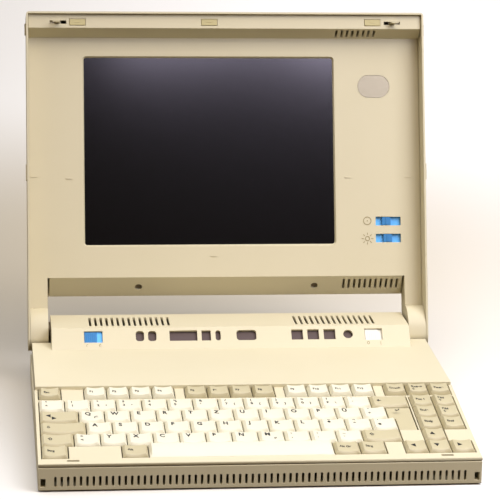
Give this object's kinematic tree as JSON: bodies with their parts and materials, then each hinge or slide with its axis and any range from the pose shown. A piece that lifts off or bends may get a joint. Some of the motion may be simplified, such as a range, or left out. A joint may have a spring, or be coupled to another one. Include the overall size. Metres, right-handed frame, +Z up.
{
  "type": "laptop computer",
  "caption": "Early clamshell laptop: wedge keyboard deck with a raised rear hump, and a thick lid with recessed display hung on two arms.",
  "frame": {"origin": "under the middle of the open machine's box, on the surface it stands on", "axes": "+Z up, -Y towards the user, +X to the user's right"},
  "size_m": [0.3242, 0.3474, 0.289],
  "materials": {
    "case_cream": "fine textured moulded ABS",
    "keys_light": "satin moulded PBT",
    "keys_tan": "satin moulded PBT",
    "blue_plastic": "satin",
    "light_blue_plastic": "satin",
    "white_plastic": "satin",
    "screen_glass": "anti-glare display front",
    "display_grey": "status display film",
    "bumper_rubber": "soft pad",
    "dark_rubber": "matte",
    "badge_bronze": "brushed, bare",
    "steel": "zinc plated",
    "pressed_aluminium": "pressed",
    "circuit_board": "solder mask",
    "black_plastic": "moulded",
    "battery_wrap": "moulded"
  },
  "bodies": {
    "base": {"bottom_case": "case_cream", "top_cover": "case_cream", "case_screws": "steel", "rubber_feet": "dark_rubber", "key_guide_frame": "black_plastic", "rubber_dome_sheet": "dark_rubber", "keyboard_base_plate": "pressed_aluminium", "main_board": "circuit_board", "board_chips": "black_plastic", "clock_battery": "steel", "hard_disk_drive": "pressed_aluminium", "floppy_drive": "case_cream", "battery_pack": "battery_wrap", "status_display": "display_grey", "speaker": "black_plastic", "power_inlet": "black_plastic", "rear_connectors": "steel", "hinge_brackets": "steel", "hinge_shafts": "steel", "switch_bodies": "black_plastic"},
    "lid": {"lid_back_cover": "case_cream", "lid_bezel": "case_cream", "display_panel": "screen_glass", "display_frame": "pressed_aluminium", "backlight_tube": "white_plastic", "inverter_board": "circuit_board", "lid_screws": "steel", "lid_bumpers": "bumper_rubber", "slider_tracks": "light_blue_plastic", "badge_plate": "badge_bronze", "hinge_clutches": "steel"},
    "left_latch": {"left_latch": "keys_tan"},
    "right_latch": {"right_latch": "keys_tan"},
    "contrast_slider": {"contrast_slider": "blue_plastic"},
    "brightness_slider": {"brightness_slider": "blue_plastic"},
    "standby_switch": {"standby_switch": "blue_plastic"},
    "power_switch": {"power_switch": "white_plastic"},
    "floppy_eject_button": {"floppy_eject_button": "keys_tan"},
    "rear_port_door": {"rear_port_door": "case_cream"},
    "digit_keys": {"digit_keys": "keys_light"},
    "upper_letter_keys": {"upper_letter_keys": "keys_light"},
    "home_letter_keys": {"home_letter_keys": "keys_light"},
    "lower_letter_keys": {"lower_letter_keys": "keys_light"},
    "space_bar": {"space_bar": "keys_light"},
    "backspace_key": {"backspace_key": "keys_tan"},
    "tab_key": {"tab_key": "keys_tan"},
    "caps_lock_key": {"caps_lock_key": "keys_tan"},
    "left_shift_key": {"left_shift_key": "keys_tan"},
    "right_shift_key": {"right_shift_key": "keys_tan"},
    "left_control_key": {"left_control_key": "keys_tan"},
    "left_alt_key": {"left_alt_key": "keys_tan"},
    "right_alt_key": {"right_alt_key": "keys_tan"},
    "right_control_key": {"right_control_key": "keys_tan"},
    "escape_key": {"escape_key": "keys_tan"},
    "outer_function_keys": {"outer_function_keys": "keys_light"},
    "middle_function_keys": {"middle_function_keys": "keys_tan"},
    "system_keys": {"system_keys": "keys_tan"},
    "navigation_keys": {"navigation_keys": "keys_tan"},
    "arrow_keys": {"arrow_keys": "keys_tan"},
    "enter_key": {"enter_key": "keys_tan"}
  },
  "joints": [
    {"name": "lid_hinge", "type": "hinge", "parent": "base", "child": "lid", "pos_m": [0, 0.0793, 0.0399], "axis": [1, 0, 0], "range_deg": [-26.7, 108.3]},
    {"name": "left_latch_slide", "type": "slide", "parent": "lid", "child": "left_latch", "axis": [1, 0, 0], "range_m": [0, 0.0018], "stiffness_N_per_m": 300},
    {"name": "right_latch_slide", "type": "slide", "parent": "lid", "child": "right_latch", "axis": [-1, 0, 0], "range_m": [0, 0.0018], "stiffness_N_per_m": 300},
    {"name": "contrast_slide", "type": "slide", "parent": "lid", "child": "contrast_slider", "axis": [1, 0, 0], "range_m": [-0.0051, 0.008]},
    {"name": "brightness_slide", "type": "slide", "parent": "lid", "child": "brightness_slider", "axis": [1, 0, 0], "range_m": [-0.0061, 0.007]},
    {"name": "standby_switch_slide", "type": "slide", "parent": "base", "child": "standby_switch", "axis": [1, 0, 0], "range_m": [0, 0.004]},
    {"name": "power_switch_slide", "type": "slide", "parent": "base", "child": "power_switch", "axis": [1, 0, 0], "range_m": [0, 0.0027]},
    {"name": "eject_button_press", "type": "slide", "parent": "base", "child": "floppy_eject_button", "axis": [-1, 0, 0], "range_m": [0, 0.003], "stiffness_N_per_m": 300},
    {"name": "port_door_hinge", "type": "hinge", "parent": "base", "child": "rear_port_door", "pos_m": [0, 0.0901, 0.0228], "axis": [-1, 0, 0], "range_deg": [0, 90]},
    {"name": "digit_keys_press", "type": "slide", "parent": "base", "child": "digit_keys", "axis": [0, 0.1132, -0.9936], "range_m": [0, 0.0028], "stiffness_N_per_m": 2340},
    {"name": "upper_letter_keys_press", "type": "slide", "parent": "base", "child": "upper_letter_keys", "axis": [0, 0.1132, -0.9936], "range_m": [0, 0.0028], "stiffness_N_per_m": 2160},
    {"name": "home_letter_keys_press", "type": "slide", "parent": "base", "child": "home_letter_keys", "axis": [0, 0.1132, -0.9936], "range_m": [0, 0.0028], "stiffness_N_per_m": 2160},
    {"name": "lower_letter_keys_press", "type": "slide", "parent": "base", "child": "lower_letter_keys", "axis": [0, 0.1132, -0.9936], "range_m": [0, 0.0028], "stiffness_N_per_m": 1980},
    {"name": "space_bar_press", "type": "slide", "parent": "base", "child": "space_bar", "axis": [0, 0.1132, -0.9936], "range_m": [0, 0.0028], "stiffness_N_per_m": 180},
    {"name": "backspace_key_press", "type": "slide", "parent": "base", "child": "backspace_key", "axis": [0, 0.1132, -0.9936], "range_m": [0, 0.0028], "stiffness_N_per_m": 180},
    {"name": "tab_key_press", "type": "slide", "parent": "base", "child": "tab_key", "axis": [0, 0.1132, -0.9936], "range_m": [0, 0.0028], "stiffness_N_per_m": 180},
    {"name": "caps_lock_key_press", "type": "slide", "parent": "base", "child": "caps_lock_key", "axis": [0, 0.1132, -0.9936], "range_m": [0, 0.0028], "stiffness_N_per_m": 180},
    {"name": "left_shift_key_press", "type": "slide", "parent": "base", "child": "left_shift_key", "axis": [0, 0.1132, -0.9936], "range_m": [0, 0.0028], "stiffness_N_per_m": 180},
    {"name": "right_shift_key_press", "type": "slide", "parent": "base", "child": "right_shift_key", "axis": [0, 0.1132, -0.9936], "range_m": [0, 0.0028], "stiffness_N_per_m": 180},
    {"name": "left_control_key_press", "type": "slide", "parent": "base", "child": "left_control_key", "axis": [0, 0.1132, -0.9936], "range_m": [0, 0.0028], "stiffness_N_per_m": 180},
    {"name": "left_alt_key_press", "type": "slide", "parent": "base", "child": "left_alt_key", "axis": [0, 0.1132, -0.9936], "range_m": [0, 0.0028], "stiffness_N_per_m": 180},
    {"name": "right_alt_key_press", "type": "slide", "parent": "base", "child": "right_alt_key", "axis": [0, 0.1132, -0.9936], "range_m": [0, 0.0028], "stiffness_N_per_m": 180},
    {"name": "right_control_key_press", "type": "slide", "parent": "base", "child": "right_control_key", "axis": [0, 0.1132, -0.9936], "range_m": [0, 0.0028], "stiffness_N_per_m": 180},
    {"name": "escape_key_press", "type": "slide", "parent": "base", "child": "escape_key", "axis": [0, 0.1132, -0.9936], "range_m": [0, 0.0028], "stiffness_N_per_m": 180},
    {"name": "outer_function_keys_press", "type": "slide", "parent": "base", "child": "outer_function_keys", "axis": [0, 0.1132, -0.9936], "range_m": [0, 0.0028], "stiffness_N_per_m": 1440},
    {"name": "middle_function_keys_press", "type": "slide", "parent": "base", "child": "middle_function_keys", "axis": [0, 0.1132, -0.9936], "range_m": [0, 0.0028], "stiffness_N_per_m": 720},
    {"name": "system_keys_press", "type": "slide", "parent": "base", "child": "system_keys", "axis": [0, 0.1132, -0.9936], "range_m": [0, 0.0028], "stiffness_N_per_m": 540},
    {"name": "navigation_keys_press", "type": "slide", "parent": "base", "child": "navigation_keys", "axis": [0, 0.1132, -0.9936], "range_m": [0, 0.0028], "stiffness_N_per_m": 1080},
    {"name": "arrow_keys_press", "type": "slide", "parent": "base", "child": "arrow_keys", "axis": [0, 0.1132, -0.9936], "range_m": [0, 0.0028], "stiffness_N_per_m": 720},
    {"name": "enter_key_press", "type": "slide", "parent": "base", "child": "enter_key", "axis": [0, 0.1132, -0.9936], "range_m": [0, 0.0028], "stiffness_N_per_m": 180}
  ]
}
